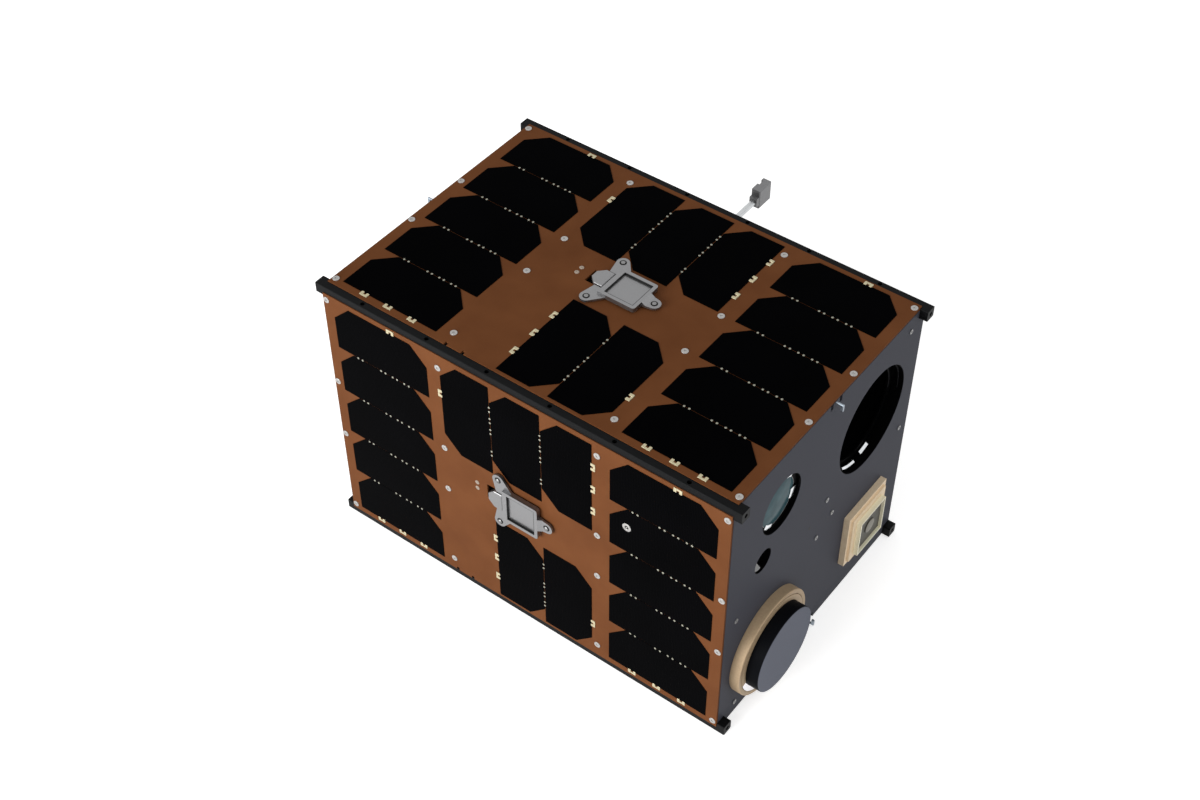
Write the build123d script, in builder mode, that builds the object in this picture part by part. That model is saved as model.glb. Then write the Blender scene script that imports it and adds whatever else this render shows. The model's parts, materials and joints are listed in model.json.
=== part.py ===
from build123d import *
import os

# Twelve-unit cube satellite lying on two of its rails, with its magnetometer boom unfolded.
# Millimetres. x runs along the rails towards the payload end, y towards the boom side, z up.
# The origin lies on the floor plane of the bottom rails, midway between them and midway along them.

os.makedirs("parts", exist_ok=True)

# ---------------------------------------------------------------- body and rails
body_width = 226.3              # over the rails, both across and up
rail_length = 340.5
rail_size = 8.5                 # square section of a rail
rail_rounding = 0.8             # long outer edges of a rail
stub_length = 6.0               # rail end beyond the end plate
rail_hole_radius = 1.6          # tapped holes along each rail and in its payload end
rail_hole_depth = 5.0
spring_bore_radius = 2.2        # bore for a separation spring, in each rail's rear end
spring_bore_depth = 12.0
rail_hole_setback = 2.85        # from the rail's outer corner to the row of holes
rail_hole_spans = (50.5, 150.5, 261.0)   # hole to hole, across the middle of the rail
fit_gap = 0.15                  # air between neighbouring plates and rails

half_width = body_width / 2
middle_z = half_width
rail_centre = half_width - rail_size / 2
plate_face_x = rail_length / 2 - stub_length
plate_thickness = 4.0           # both end plates

# ---------------------------------------------------------------- side panels and cells
panel_width = 215.0
panel_thickness = 1.6
panel_end_gap = 0.25            # from a panel's end to the plate face that it stops at
proud_panel_length = 2 * (plate_face_x - panel_end_gap)                      # laps over the end plates
inset_panel_length = 2 * (plate_face_x - plate_thickness - panel_end_gap)    # fits between them
proud_panel_height = 0.5        # outer face above the rails' plane
inset_panel_height = -0.6       # outer face sunk inside the rails' plane
cell_thickness = 0.3
cell_long = 80.8
cell_wide = 40.7
cell_corner = 13.5              # cropped corner of a cell
cell_pitch = 41.2
notch_places = (-62.0, -48.0)   # two small notches in a panel's lower edge
notch_wide = 2.4
notch_deep = 2.6

# ---------------------------------------------------------------- end plates
plate_free_edge = 0.45          # inside the rails' plane, on the two sides with inset panels
slot_wide = 3.0
slot_high = 5.0
slot_offsets = (-4.6, 5.8)      # the two edge slots beside each hook pin
hook_y = 1.0
hook_reach = 5.5
hook_radius = 0.9
hook_drop = 4.0
hook_inset = 2.4                # hook pin's axis inside the rails' plane

# ---------------------------------------------------------------- payload optics
# places on the end plate count from the body's nearest sides
telescope_from_back = 55.85
telescope_from_top = 64.75
telescope_y = half_width - telescope_from_back
telescope_z = half_width - telescope_from_top
telescope_radius = 40.5
telescope_wall = 2.5
telescope_depth = 120.0
baffle_radius = 35.0
baffle_depth = 9.0              # from the plate's outer face to the first baffle ring
baffle_thickness = 1.2
baffle_count = 4
baffle_pitch = 22.0
telescope_glass_thickness = 6.0
camera_from_front = 57.95
camera_from_top = 47.05
camera_y = camera_from_front - half_width
camera_z = half_width - camera_from_top
camera_radius = 21.85
camera_wall = 2.0
camera_depth = 42.0
camera_glass_depth = 3.8
camera_glass_thickness = 6.0
sight_from_front = 40.85
sight_from_top = 85.75
sight_y = sight_from_front - half_width
sight_z = half_width - sight_from_top
sight_radius = 9.35
sight_wall = 1.5
sight_depth = 30.0
sight_glass_depth = 8.0
sight_glass_thickness = 3.0
flange_reach = 3.0              # flange of each tube beyond its wall
flange_thickness = 3.0

# ---------------------------------------------------------------- payload end antennas
round_antenna_from_front = 51.9
round_antenna_from_bottom = 49.55
round_antenna_y = round_antenna_from_front - half_width
round_antenna_z = round_antenna_from_bottom - half_width
round_ring_radius = 40.5
round_ring_height = 7.6
round_groove_radius = 36.8
round_groove_depth = 2.0
round_puck_radius = 32.5
round_puck_height = 17.3
round_edge = 0.8                # rounding of the ring's and the puck's rims
square_antenna_from_back = 51.35
square_antenna_from_bottom = 55.65
square_antenna_y = half_width - square_antenna_from_back
square_antenna_z = square_antenna_from_bottom - half_width
square_edge = 0.4
square_tiers = (                # size, height above the end plate
    (49.2, 4.5),
    (43.0, 6.5),
)
square_frame_size = 33.2
square_frame_height = 10.0
square_frame_wall = 1.1
patch_thickness = 1.4
patch_gap = 0.3
feed_radius = 6.0               # round feed cap in the middle of the patch
feed_height = 0.7

# ---------------------------------------------------------------- sun sensors
sensor_up = 1.7                 # centre line above the panel's own middle
sensor_standoff = 1.25          # air under the sensor's base plate
sensor_plate_thickness = 1.5
sensor_body_x = 3.15
sensor_body_long = 29.5
sensor_body_wide = 28.6
sensor_body_height = 4.65       # over the panel's outer face
sensor_rim = 2.6
sensor_connector_rim = 3.6      # the window's rim beside the connector
sensor_recess = 1.5
sensor_corner = 2.0             # rounded corners away from the connector
sensor_ramp_long = 3.0
sensor_ramp_wide = 11.0
sensor_ears = (                 # x, up from the centre line, x, up and radius of the arm's root
    (-16.0, 20.5, -10.2, 8.6, 7.8),
    (-16.0, -20.5, -10.2, -8.6, 7.8),
    (24.3, 0.0, 14.0, 0.0, 6.4),
)
sensor_ear_radius = 4.7
sensor_ear_hole = 1.3
sensor_boss_radius = 3.2
connector_x = -18.8
connector_long = 11.8
connector_wide = 15.4
connector_height = 3.6
connector_corner = 4.9          # cropped corners over the panel's cutout
connector_edge = 0.4
connector_gap = 0.7             # between the connector and the base plate
cutout_x = -24.3
cutout_long = 7.8
cutout_wide = 12.6

# ---------------------------------------------------------------- boom
boom_x = -54.9
boom_pivot_height = 9.5         # hinge pin above the back panel
boom_pin_radius = 1.5
boom_pin_clearance = 0.05
boom_knuckle_radius = 4.2
boom_knuckle_length = 9.8
boom_lug_gap = 0.3
boom_lug_thickness = 4.0
boom_lug_radius = 4.5
boom_base_x = 26.0
boom_base_thickness = 3.0
boom_socket_length = 12.0       # from the hinge pin to the end of the rod's socket
boom_socket_radius = 3.6
boom_rod_radius = 2.5
boom_rod_insert = 6.0
boom_head_start = 132.0         # from the hinge pin to the head's near face
boom_head_thick = 7.8
boom_head_long = 16.7
boom_head_high = 17.2
boom_head_rise = 1.7
boom_head_edge = 0.7
boom_head_notch_start = 8.0     # shallow notch in one broad face, from the head's near face
boom_head_notch_long = 5.5
boom_head_notch_deep = 1.8
boom_neck_thick = 7.0
boom_neck_high = 8.0
boom_neck_rise = 0.6
boom_neck_length = 3.5
bond_gap = 0.05                 # glue line around the rod's ends
cradle_reach = 98.0             # from the hinge pin to the rod's rest on the panel
cradle_long = 8.0
cradle_wide = 15.0
cradle_clearance = 0.6          # between the cradle's slot and the folded rod
cradle_lip = 1.0                # cradle's top beyond the rod's axis

# ---------------------------------------------------------------- avionics
avionics_length = 160.0
avionics_size = 186.0


def write(piece, label):
    """Label one finished piece and write its file."""
    piece.label = label
    export_step(piece, f"parts/{label}.step")


def slab(xs, ys, zs, mode=Mode.ADD):
    """A block between two x, two y and two z limits, in the part being built."""
    centre = (sum(xs) / 2, sum(ys) / 2, sum(zs) / 2)
    with Locations(centre):
        Box(abs(xs[1] - xs[0]), abs(ys[1] - ys[0]), abs(zs[1] - zs[0]), mode=mode)


def side_plane(turn, height):
    """A long side's plane: local x along the rails, local z outward, height from the long axis."""
    return Plane((0, 0, middle_z)).rotated((turn, 0, 0)).offset(height)


# Each long side: name, turn about x from the top, height of the panel's outer face, its length
sides = (
    ("top", 0, proud_panel_height, proud_panel_length),
    ("front", 90, proud_panel_height, proud_panel_length),
    ("bottom", 180, inset_panel_height, inset_panel_length),
    ("back", 270, inset_panel_height, inset_panel_length),
)
panel_face = {name: half_width + height for name, turn, height, length in sides}
panel_seat = {name: face - panel_thickness for name, face in panel_face.items()}
panel_reach = {name: length / 2 for name, turn, height, length in sides}
side_turn = {name: turn for name, turn, height, length in sides}

# ================================================================ rails
# Each rail: name, side of y, side of z, the two long sides it carries
rails = (
    ("rail_top_back", 1, 1, "back", "top"),
    ("rail_top_front", -1, 1, "front", "top"),
    ("rail_bottom_back", 1, -1, "back", "bottom"),
    ("rail_bottom_front", -1, -1, "front", "bottom"),
)
hole_offset = half_width - rail_hole_setback
for name, y_side, z_side, y_panel, z_panel in rails:
    rail_y = y_side * rail_centre
    rail_z = middle_z + z_side * rail_centre
    inner = half_width - rail_size
    ledge = panel_width / 2 + fit_gap
    with BuildPart() as rail:
        with Locations((0, rail_y, rail_z)):
            Box(rail_length, rail_size, rail_size)
        fillet(rail.edges().filter_by(Axis.X), rail_rounding)
        # ledges that the two side panels lie on
        reach = panel_reach[z_panel] + fit_gap
        slab((-reach, reach), (y_side * inner, y_side * ledge),
             (middle_z + z_side * panel_seat[z_panel], middle_z + z_side * half_width),
             mode=Mode.SUBTRACT)
        reach = panel_reach[y_panel] + fit_gap
        slab((-reach, reach), (y_side * panel_seat[y_panel], y_side * half_width),
             (middle_z + z_side * inner, middle_z + z_side * ledge),
             mode=Mode.SUBTRACT)
        # row of holes in the face that looks up or down
        rail_face = Plane((0, y_side * hole_offset, middle_z + z_side * half_width),
                          x_dir=(1, 0, 0), z_dir=(0, 0, z_side))
        with BuildSketch(rail_face):
            for span in rail_hole_spans:
                with GridLocations(span, 0, 2, 1):
                    Circle(rail_hole_radius)
        extrude(amount=-rail_hole_depth, mode=Mode.SUBTRACT)
        # a tapped hole in the payload end and a spring bore in the rear end
        for end, radius, depth in (
            (1, rail_hole_radius, rail_hole_depth),
            (-1, spring_bore_radius, spring_bore_depth),
        ):
            with BuildSketch(Plane((end * rail_length / 2, rail_y, rail_z), z_dir=(end, 0, 0))):
                Circle(radius)
            extrude(amount=-depth, mode=Mode.SUBTRACT)
    write(rail.part, name)

# ================================================================ side panels and their cells
single_count = 1
column_count = 5                # cells of a column at either end of a panel
upper_count = 3
lower_count = 2
# Cell groups: centre x, centre up, columns, rows, turn of each cell
cell_groups = (
    (-114.75, 0.75, single_count, column_count, 0),
    (114.75, 0.75, single_count, column_count, 0),
    (-1.4, 63.0, upper_count, single_count, 90),
    (18.8, -64.7, lower_count, single_count, -90),
)
sensor_sides = ("top", "front")


# One cell: a rectangle with the two corners of its upper long edge cropped
half_long = cell_long / 2
half_wide = cell_wide / 2
with BuildSketch() as one_cell:
    with BuildLine():
        Polyline(
            (-half_long, -half_wide),
            (half_long, -half_wide),
            (half_long, half_wide - cell_corner),
            (half_long - cell_corner, half_wide),
            (cell_corner - half_long, half_wide),
            (-half_long, half_wide - cell_corner),
            close=True,
        )
    make_face()

for name, turn, height, length in sides:
    with BuildPart() as panel:
        with BuildSketch(side_plane(turn, panel_seat[name])):
            Rectangle(length, panel_width)
            if name in sensor_sides:
                with Locations((cutout_x, sensor_up)):
                    Rectangle(cutout_long, cutout_wide, mode=Mode.SUBTRACT)
            for notch_x in notch_places:
                with Locations((notch_x, (notch_deep - panel_width) / 2)):
                    Rectangle(notch_wide, notch_deep, mode=Mode.SUBTRACT)
        extrude(amount=panel_thickness)
    write(panel.part, f"panel_{name}")

    with BuildPart() as cells:
        with BuildSketch(side_plane(turn, panel_face[name])):
            for centre_x, centre_up, columns, rows, cell_turn in cell_groups:
                with Locations((centre_x, centre_up)):
                    with GridLocations(cell_pitch, cell_pitch, columns, rows):
                        add(one_cell.sketch, rotation=cell_turn)
        extrude(amount=cell_thickness)
    write(cells.part, f"cells_{name}")

# ================================================================ end plates
payload_face = Plane((plate_face_x, 0, middle_z), x_dir=(0, 1, 0), z_dir=(1, 0, 0))
rear_face = Plane((-plate_face_x, 0, middle_z), x_dir=(0, -1, 0), z_dir=(-1, 0, 0))
free_edge = half_width - plate_free_edge


def plate_outline(y_sign):
    """An end plate's outline, with the rails' corners and the edge slots cut out."""
    # top and front edges carry the proud panels; bottom and back edges are free
    top = panel_seat["top"]
    size = top + free_edge
    shift = (free_edge - top) / 2
    with Locations((y_sign * shift, -shift)):
        Rectangle(size, size)
    with GridLocations(2 * rail_centre, 2 * rail_centre, 2, 2):
        Rectangle(rail_size + 2 * fit_gap, rail_size + 2 * fit_gap, mode=Mode.SUBTRACT)
    for z_sign, edge in ((1, top), (-1, free_edge)):
        for slot_y in slot_offsets:
            with Locations((y_sign * (hook_y + slot_y), z_sign * (edge - slot_high / 2))):
                Rectangle(slot_wide, slot_high, mode=Mode.SUBTRACT)


with BuildPart() as payload_plate:
    with BuildSketch(payload_face):
        plate_outline(1)
        # apertures of the telescope, the camera and the sight
        for hole_y, hole_z, radius in (
            (telescope_y, telescope_z, telescope_radius),
            (camera_y, camera_z, camera_radius),
            (sight_y, sight_z, sight_radius),
        ):
            with Locations((hole_y, hole_z)):
                Circle(radius, mode=Mode.SUBTRACT)
    extrude(amount=-plate_thickness)
write(payload_plate.part, "payload_end_plate")

with BuildPart() as rear_plate:
    with BuildSketch(rear_face):
        plate_outline(-1)
    extrude(amount=-plate_thickness)
write(rear_plate.part, "rear_end_plate")

# ================================================================ hook pins at the end plates' edges
for label, face, y_sign in (("payload_hooks", payload_face, 1), ("rear_hooks", rear_face, -1)):
    with BuildPart() as hooks:
        for z_sign in (-1, 1):
            hook_z = z_sign * (half_width - hook_inset)
            with BuildSketch(face):
                with Locations((y_sign * hook_y, hook_z)):
                    Circle(hook_radius)
            extrude(amount=hook_reach)
            with BuildSketch(face.offset(hook_reach - 2 * hook_radius)):
                with Locations((y_sign * hook_y, hook_z - z_sign * hook_drop / 2)):
                    SlotOverall(hook_drop + 2 * hook_radius, 2 * hook_radius, rotation=90)
            extrude(amount=2 * hook_radius)
    write(hooks.part, label)

# ================================================================ payload optics
plate_back = payload_face.offset(-plate_thickness)


# Blind tubes behind the apertures: name, y, z, bore radius, wall, depth, number of baffle rings
tubes = (
    ("telescope_tube", telescope_y, telescope_z, telescope_radius, telescope_wall, telescope_depth,
     baffle_count),
    ("camera_tube", camera_y, camera_z, camera_radius, camera_wall, camera_depth, 0),
    ("sight_tube", sight_y, sight_z, sight_radius, sight_wall, sight_depth, 0),
)
for label, y, z, radius, wall, depth, rings in tubes:
    with BuildPart() as tube:
        # flange against the plate, then the wall and its closed end
        with BuildSketch(plate_back):
            with Locations((y, z)):
                Circle(radius + wall + flange_reach)
        extrude(amount=-flange_thickness)
        with BuildSketch(plate_back):
            with Locations((y, z)):
                Circle(radius + wall)
        extrude(amount=-depth - wall)
        with BuildSketch(plate_back):
            with Locations((y, z)):
                Circle(radius)
        extrude(amount=-depth, mode=Mode.SUBTRACT)
        for ring in range(rings):
            with BuildSketch(payload_face.offset(-baffle_depth - ring * baffle_pitch)):
                with Locations((y, z)):
                    Circle(radius + wall / 2)
                    Circle(baffle_radius, mode=Mode.SUBTRACT)
            extrude(amount=-baffle_thickness)
    write(tube.part, label)

# Glass discs: name, y, z, tube radius, depth below the plate's outer face, thickness
telescope_glass_depth = plate_thickness + telescope_depth - telescope_glass_thickness
glasses = (
    ("telescope_glass", telescope_y, telescope_z, telescope_radius, telescope_glass_depth,
     telescope_glass_thickness),
    ("camera_glass", camera_y, camera_z, camera_radius, camera_glass_depth, camera_glass_thickness),
    ("sight_glass", sight_y, sight_z, sight_radius, sight_glass_depth, sight_glass_thickness),
)
for label, y, z, radius, depth, thickness in glasses:
    with BuildPart() as glass:
        with BuildSketch(payload_face.offset(-depth)):
            with Locations((y, z)):
                Circle(radius - fit_gap)
        extrude(amount=-thickness)
    write(glass.part, label)

# ================================================================ round antenna
with BuildPart() as round_ring:
    with BuildSketch(payload_face):
        with Locations((round_antenna_y, round_antenna_z)):
            Circle(round_ring_radius)
    extrude(amount=round_ring_height)
    with BuildSketch(payload_face.offset(round_ring_height)):
        with Locations((round_antenna_y, round_antenna_z)):
            Circle(round_groove_radius)
    extrude(amount=-round_groove_depth, mode=Mode.SUBTRACT)
    rims = round_ring.edges().filter_by(GeomType.CIRCLE).group_by(Axis.X)[-1]
    fillet(rims, round_edge)
write(round_ring.part, "round_antenna_base")

with BuildPart() as round_puck:
    with BuildSketch(payload_face.offset(round_ring_height - round_groove_depth)):
        with Locations((round_antenna_y, round_antenna_z)):
            Circle(round_puck_radius)
    extrude(amount=round_puck_height - round_ring_height + round_groove_depth)
    fillet(round_puck.edges().group_by(Axis.X)[-1], round_edge)
write(round_puck.part, "round_antenna_puck")

# ================================================================ square antenna
with BuildPart() as square_base:
    for size, height in square_tiers:
        with BuildSketch(payload_face):
            with Locations((square_antenna_y, square_antenna_z)):
                Rectangle(size, size)
        extrude(amount=height)
    chamfer(square_base.faces().filter_by(Axis.X).sort_by(Axis.X)[-1].outer_wire().edges(), square_edge)
write(square_base.part, "square_antenna_base")

tier_top = square_tiers[-1][1]
frame_opening = square_frame_size - 2 * square_frame_wall
with BuildPart() as square_frame:
    with BuildSketch(payload_face.offset(tier_top)):
        with Locations((square_antenna_y, square_antenna_z)):
            Rectangle(square_frame_size, square_frame_size)
            Rectangle(frame_opening, frame_opening, mode=Mode.SUBTRACT)
    extrude(amount=square_frame_height - tier_top)
write(square_frame.part, "square_antenna_frame")

patch_size = frame_opening - 2 * patch_gap
with BuildPart() as patch:
    with BuildSketch(payload_face.offset(tier_top)):
        with Locations((square_antenna_y, square_antenna_z)):
            Rectangle(patch_size, patch_size)
    extrude(amount=patch_thickness)
    with BuildSketch(payload_face.offset(tier_top)):
        with Locations((square_antenna_y, square_antenna_z)):
            Circle(feed_radius)
    extrude(amount=patch_thickness + feed_height)
write(patch.part, "square_antenna_patch")

# ================================================================ sun sensors
window_long = sensor_body_long - sensor_rim - sensor_connector_rim
window_x = sensor_body_x + (sensor_connector_rim - sensor_rim) / 2
for name in sensor_sides:
    turn = side_turn[name]
    skin = side_plane(turn, panel_face[name])
    plate_level = skin.offset(sensor_standoff)
    with BuildPart() as sensor_base:
        with BuildSketch(plate_level) as outline:
            with Locations((sensor_body_x, sensor_up)):
                Rectangle(sensor_body_long, sensor_body_wide)
            fillet(outline.vertices().sort_by(Axis.X)[-2:], sensor_corner)
        extrude(amount=sensor_plate_thickness)
        for ear_x, ear_up, root_x, root_up, root_radius in sensor_ears:
            # an arm tapers from its root under the head to its ear
            with BuildSketch(plate_level):
                with Locations((ear_x, sensor_up + ear_up)):
                    Circle(sensor_ear_radius)
                with Locations((root_x, sensor_up + root_up)):
                    Circle(root_radius)
                make_hull()
            extrude(amount=sensor_plate_thickness)
        with BuildSketch(plate_level):
            with Locations((connector_x, sensor_up)):
                Rectangle(connector_long + 2 * connector_gap, connector_wide + 2 * connector_gap)
        extrude(amount=sensor_plate_thickness, mode=Mode.SUBTRACT)
        with BuildSketch(skin):
            for ear_x, ear_up, root_x, root_up, root_radius in sensor_ears:
                with Locations((ear_x, sensor_up + ear_up)):
                    Circle(sensor_boss_radius)
        extrude(amount=sensor_standoff)
        with BuildSketch(skin):
            for ear_x, ear_up, root_x, root_up, root_radius in sensor_ears:
                with Locations((ear_x, sensor_up + ear_up)):
                    Circle(sensor_ear_hole)
        extrude(amount=sensor_standoff + sensor_plate_thickness, mode=Mode.SUBTRACT)
    write(sensor_base.part, f"sun_sensor_base_{name}")

    lid_level = plate_level.offset(sensor_plate_thickness)
    lid_height = sensor_body_height - sensor_standoff - sensor_plate_thickness
    ramp_x = sensor_body_x + sensor_body_long / 2
    ramp_plane = Plane(lid_level.from_local_coords((ramp_x, sensor_up, 0)),
                       x_dir=lid_level.x_dir, z_dir=-lid_level.y_dir)
    with BuildPart() as sensor_head:
        with BuildSketch(lid_level) as outline:
            with Locations((sensor_body_x, sensor_up)):
                Rectangle(sensor_body_long, sensor_body_wide)
            fillet(outline.vertices().sort_by(Axis.X)[-2:], sensor_corner)
        extrude(amount=lid_height)
        with BuildSketch(ramp_plane):
            with BuildLine():
                Polyline((0, 0), (sensor_ramp_long, 0), (0, lid_height), close=True)
            make_face()
        extrude(amount=sensor_ramp_wide / 2, both=True)
        with BuildSketch(lid_level.offset(lid_height)):
            with Locations((window_x, sensor_up)):
                Rectangle(window_long, sensor_body_wide - 2 * sensor_rim)
        extrude(amount=-sensor_recess, mode=Mode.SUBTRACT)
    write(sensor_head.part, f"sun_sensor_head_{name}")

    with BuildPart() as connector:
        with BuildSketch(skin) as outline:
            with Locations((connector_x, sensor_up)):
                Rectangle(connector_long, connector_wide)
            chamfer(outline.vertices().sort_by(Axis.X)[:2], connector_corner)
        extrude(amount=connector_height)
        lid_edges = connector.faces().sort_by(Axis(skin.origin, skin.z_dir))[-1].edges()
        chamfer(lid_edges, connector_edge)
    write(connector.part, f"sun_sensor_connector_{name}")

# ================================================================ boom: bracket, pin and cradle
pivot_y = panel_face["back"] + boom_pivot_height
panel_y = panel_face["back"]
lug_inner = boom_knuckle_length / 2 + boom_lug_gap
lug_outer = lug_inner + boom_lug_thickness
with BuildPart() as boom_bracket:
    slab((boom_x - boom_base_x / 2, boom_x + boom_base_x / 2),
         (panel_y, panel_y + boom_base_thickness),
         (middle_z - lug_outer, middle_z + lug_outer))
    for z_sign in (-1, 1):
        lug_plane = Plane((boom_x, pivot_y, middle_z + z_sign * (lug_inner + lug_outer) / 2))
        with BuildSketch(lug_plane):
            Circle(boom_lug_radius)
            with Locations((0, -(pivot_y - panel_y) / 2)):
                Rectangle(2 * boom_lug_radius, pivot_y - panel_y)
        extrude(amount=boom_lug_thickness / 2, both=True)
    with Locations((boom_x, pivot_y, middle_z)):
        Cylinder(boom_pin_radius + boom_pin_clearance, 2 * lug_outer, mode=Mode.SUBTRACT)
write(boom_bracket.part, "boom_bracket")

with BuildPart() as boom_pin:
    with Locations((boom_x, pivot_y, middle_z)):
        Cylinder(boom_pin_radius, 2 * lug_outer)
write(boom_pin.part, "boom_pin")

cradle_x = boom_x + cradle_reach
cradle_top = boom_pivot_height + cradle_lip
cradle_slot = boom_rod_radius + cradle_clearance
with BuildPart() as boom_cradle:
    slab((cradle_x - cradle_long / 2, cradle_x + cradle_long / 2),
         (panel_y, panel_y + cradle_top),
         (middle_z - cradle_wide / 2, middle_z + cradle_wide / 2))
    slab((cradle_x - cradle_long, cradle_x + cradle_long),
         (pivot_y - cradle_slot, pivot_y + cradle_slot),
         (middle_z - cradle_slot, middle_z + cradle_slot),
         mode=Mode.SUBTRACT)
write(boom_cradle.part, "boom_cradle")

# ================================================================ boom: knuckle, rod and head
head_y = pivot_y + boom_head_start
with BuildPart() as boom_knuckle:
    with Locations((boom_x, pivot_y, middle_z)):
        Cylinder(boom_knuckle_radius, boom_knuckle_length)
    with BuildSketch(Plane((boom_x, pivot_y, middle_z), z_dir=(0, 1, 0))):
        Circle(boom_socket_radius)
    extrude(amount=boom_socket_length)
    with BuildSketch(Plane((boom_x, pivot_y + boom_socket_length, middle_z), z_dir=(0, 1, 0))):
        Circle(boom_rod_radius + bond_gap)
    extrude(amount=-boom_rod_insert, mode=Mode.SUBTRACT)
    with Locations((boom_x, pivot_y, middle_z)):
        Cylinder(boom_pin_radius + boom_pin_clearance, 2 * lug_outer, mode=Mode.SUBTRACT)
write(boom_knuckle.part, "boom_knuckle")

rod_start = pivot_y + boom_socket_length - boom_rod_insert
rod_end = head_y - boom_neck_length + boom_rod_insert / 2
with BuildPart() as boom_rod:
    with BuildSketch(Plane((boom_x, rod_start, middle_z), z_dir=(0, 1, 0))):
        Circle(boom_rod_radius)
    extrude(amount=rod_end - rod_start)
write(boom_rod.part, "boom_rod")

head_z = middle_z + boom_head_rise
neck_z = middle_z + boom_neck_rise
notch_y = head_y + boom_head_notch_start
with BuildPart() as boom_head:
    slab((boom_x - boom_head_thick / 2, boom_x + boom_head_thick / 2),
         (head_y, head_y + boom_head_long),
         (head_z - boom_head_high / 2, head_z + boom_head_high / 2))
    slab((boom_x - boom_head_thick, boom_x - boom_head_thick / 2 + boom_head_notch_deep),
         (notch_y, notch_y + boom_head_notch_long),
         (head_z - boom_head_high, head_z + boom_head_high),
         mode=Mode.SUBTRACT)
    chamfer(boom_head.faces().sort_by(Axis.X)[-1].edges(), boom_head_edge)
    slab((boom_x - boom_neck_thick / 2, boom_x + boom_neck_thick / 2),
         (head_y - boom_neck_length, head_y),
         (neck_z - boom_neck_high / 2, neck_z + boom_neck_high / 2))
    with BuildSketch(Plane((boom_x, head_y - boom_neck_length, middle_z), z_dir=(0, 1, 0))):
        Circle(boom_rod_radius + bond_gap)
    extrude(amount=boom_rod_insert / 2, mode=Mode.SUBTRACT)
write(boom_head.part, "boom_head")

# ================================================================ avionics and battery stack
with BuildPart() as avionics:
    with BuildSketch(rear_face.offset(-plate_thickness)):
        Rectangle(avionics_size, avionics_size)
    extrude(amount=-avionics_length)
write(avionics.part, "avionics_stack")
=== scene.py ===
# %% [markdown]
# # A twelve-unit cube satellite
# A small satellite is a box on four rails. Its long sides are circuit boards with solar cells glued on,
# one end carries the optics and antennas, and a thin boom holds a magnetic sensor away from the body.
# The engineering model is loaded first and stays as it is: everything here is a finish on one of its
# nodes, or a small piece that sits on one. Lengths are metres, and mm makes them readable.

import json
import math

import bmesh
import bpy
from mathutils import Matrix, Vector


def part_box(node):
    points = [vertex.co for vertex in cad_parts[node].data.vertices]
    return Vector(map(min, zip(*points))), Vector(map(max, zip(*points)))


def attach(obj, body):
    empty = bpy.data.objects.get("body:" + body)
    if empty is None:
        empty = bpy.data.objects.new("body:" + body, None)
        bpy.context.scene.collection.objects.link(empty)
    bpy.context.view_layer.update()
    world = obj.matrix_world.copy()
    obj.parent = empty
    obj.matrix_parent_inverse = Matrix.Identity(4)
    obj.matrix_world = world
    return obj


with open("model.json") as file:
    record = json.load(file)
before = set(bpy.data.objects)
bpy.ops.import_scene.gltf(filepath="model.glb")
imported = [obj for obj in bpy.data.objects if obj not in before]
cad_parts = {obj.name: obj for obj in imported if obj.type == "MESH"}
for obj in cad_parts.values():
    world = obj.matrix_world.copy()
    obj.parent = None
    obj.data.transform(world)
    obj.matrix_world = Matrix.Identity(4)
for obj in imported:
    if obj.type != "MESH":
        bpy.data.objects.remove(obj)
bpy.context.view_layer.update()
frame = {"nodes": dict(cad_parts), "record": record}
mm = 0.001


def new_object(name, data):
    """An object of that data, linked into the scene."""
    made = bpy.data.objects.new(name, data)
    bpy.context.scene.collection.objects.link(made)
    return made


# %% [markdown]
# ## Camera
# Camera and object share one frame, so the camera is placed by its real position and its tilt. It looks
# down about 45 degrees on the corner between the payload end, the front side and the top. A matching
# perspective matters more than anything else here: if it is wrong, every shape seems wrong.

# %% Camera
camera_place = Vector((513.63, -708.0, 1015.83)) * mm
camera_turn = (44.521, 0.020, 36.923)
lens_length = 53.557
sensor_width = 36.0

camera_data = bpy.data.cameras.new("camera")
camera_data.lens = lens_length
camera_data.sensor_width = sensor_width
camera = new_object("camera", camera_data)
camera.location = camera_place
camera.rotation_euler = [math.radians(angle) for angle in camera_turn]
bpy.context.scene.camera = camera

# %% [markdown]
# ## Finishes
# Each finish starts from the Principled shader and is kept by its name. Constant values are set on the
# shader's sockets, and what varies over the surface comes from noise and waves in object coordinates, so
# that nothing has to be unwrapped and the grain keeps its real scale.

# %% Helpers for finishes
wave_period = 0.314              # a wave texture's scale times the pitch it gives
finish = {}                      # every finish by its name


def preset(node, values):
    """Sets constant values on a shader node's sockets; returns the node."""
    for socket, value in values.items():
        node.inputs[socket].default_value = value
    return node


def new_finish(name, roughness, metallic=0.0, specular=0.5):
    """Starts a finish and keeps it by its name; returns its nodes, links and Principled shader."""
    material = bpy.data.materials.new(name)
    material.use_nodes = True
    finish[name] = material
    nodes, links = material.node_tree.nodes, material.node_tree.links
    skin = preset(nodes["Principled BSDF"],
                  {"Roughness": roughness, "Metallic": metallic, "Specular IOR Level": specular})
    return nodes, links, skin


def noise(nodes, links, size, detail=3.0, stretch=(1.0, 1.0, 1.0)):
    """Noise with grains of about that size in metres; stretch lengthens them along an axis."""
    place = nodes.new("ShaderNodeTexCoord")
    scaling = preset(nodes.new("ShaderNodeMapping"), {"Scale": [1.0 / (size * s) for s in stretch]})
    texture = preset(nodes.new("ShaderNodeTexNoise"), {"Scale": 1.0, "Detail": detail})
    links.new(place.outputs["Object"], scaling.inputs["Vector"])
    links.new(scaling.outputs["Vector"], texture.inputs["Vector"])
    return texture.outputs["Fac"]


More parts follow.
